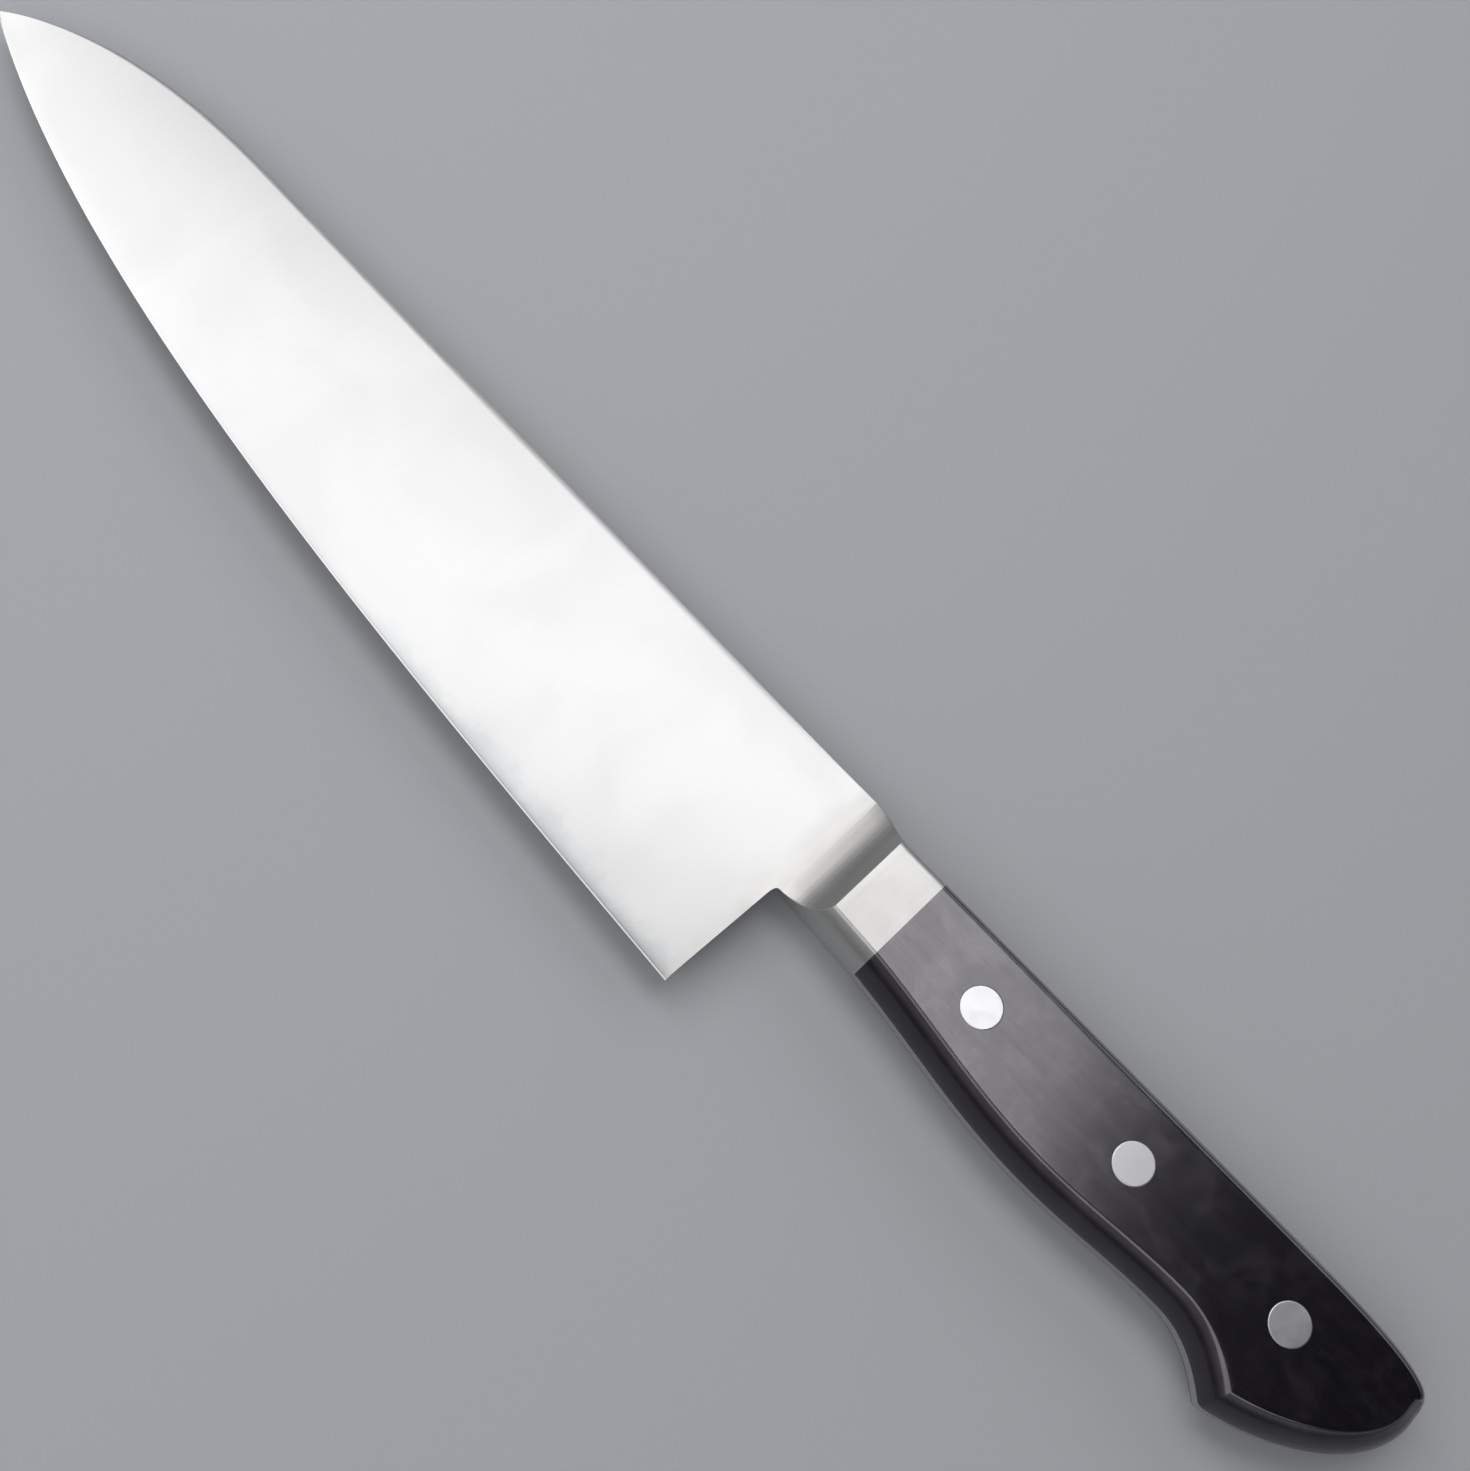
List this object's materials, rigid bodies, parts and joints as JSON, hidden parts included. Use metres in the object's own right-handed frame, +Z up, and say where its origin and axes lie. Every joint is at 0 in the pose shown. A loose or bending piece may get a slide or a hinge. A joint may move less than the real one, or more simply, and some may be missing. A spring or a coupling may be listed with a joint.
{
  "type": "gyuto knife",
  "caption": "Western-handled chef's knife: satin steel blade with full tang, welded bolster, black wood scales and flush rivets, finger recess and beak at the butt.",
  "frame": {"origin": "centre of the bounding box, at the bottom, with the knife lying on its right side", "axes": "tip towards -X, butt towards +X, spine towards +Y, edge towards -Y, left face up along +Z"},
  "size_m": [0.3416, 0.0482, 0.014],
  "materials": {
    "blade_steel": "fine satin polish along the blade, with a brighter ground edge bevel",
    "bolster_steel": "satin, blended into the blade with no visible seam",
    "black_wood": "black resin-filled laminated wood, satin, with faint grain and light wear",
    "rivet_steel": "ground flush with the scales and polished"
  },
  "bodies": {
    "root": {"blade_and_tang": "blade_steel", "bolster_left": "bolster_steel", "bolster_right": "bolster_steel", "scale_left": "black_wood", "scale_right": "black_wood", "rivet_front_male": "rivet_steel", "rivet_front_female": "rivet_steel", "rivet_middle_male": "rivet_steel", "rivet_middle_female": "rivet_steel", "rivet_rear_male": "rivet_steel", "rivet_rear_female": "rivet_steel"}
  },
  "joints": []
}
